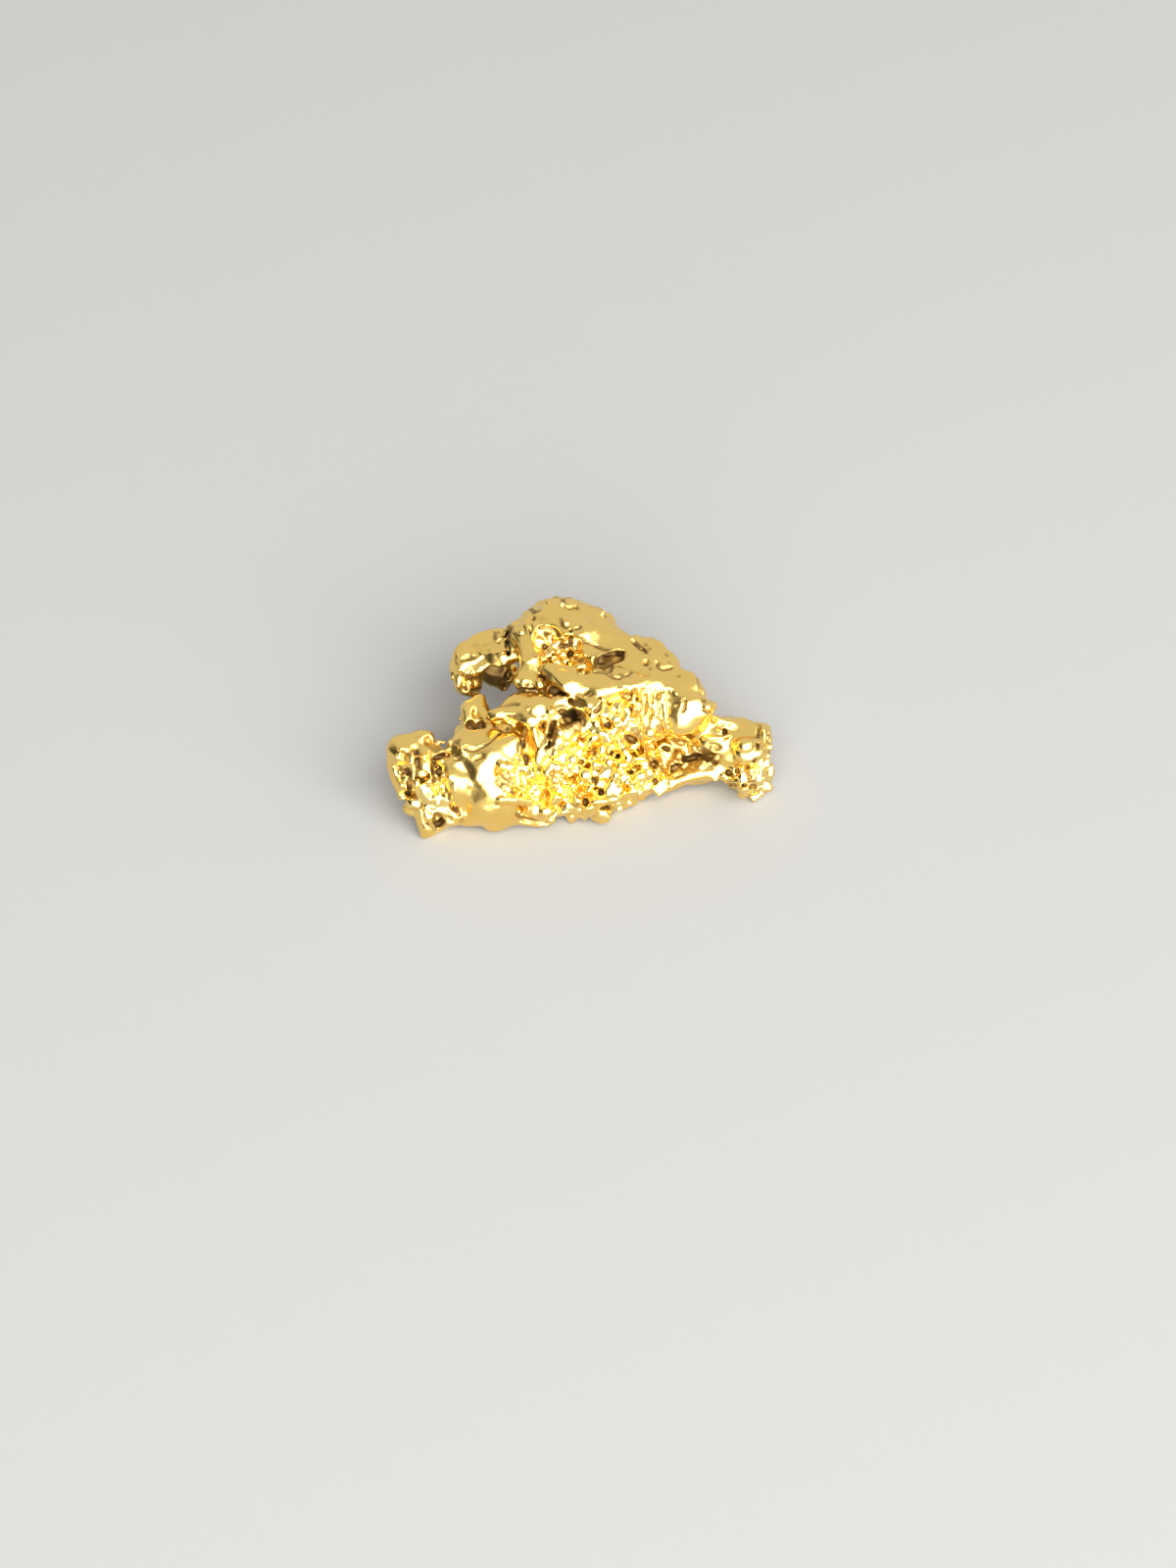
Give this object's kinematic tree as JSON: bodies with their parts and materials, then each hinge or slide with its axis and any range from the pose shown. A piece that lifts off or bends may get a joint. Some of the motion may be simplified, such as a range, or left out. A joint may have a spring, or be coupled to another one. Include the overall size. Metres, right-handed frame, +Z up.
{
  "type": "gold nugget",
  "caption": "Small natural nugget of gold: a lumpy, pitted crust with a hollow top, worn ledges and two side arms, lying on its flattened feet.",
  "frame": {"origin": "centre of the nugget's box in plan, on the surface that it rests on", "axes": "+X along its length towards the thin right arm, +Y away from the rough front face, +Z up from the surface"},
  "size_m": [0.009, 0.0052, 0.0032],
  "materials": {
    "gold": "natural gold, satin where worn, bright and crystalline where rough"
  },
  "bodies": {
    "root": {"nugget": "gold"}
  },
  "joints": []
}
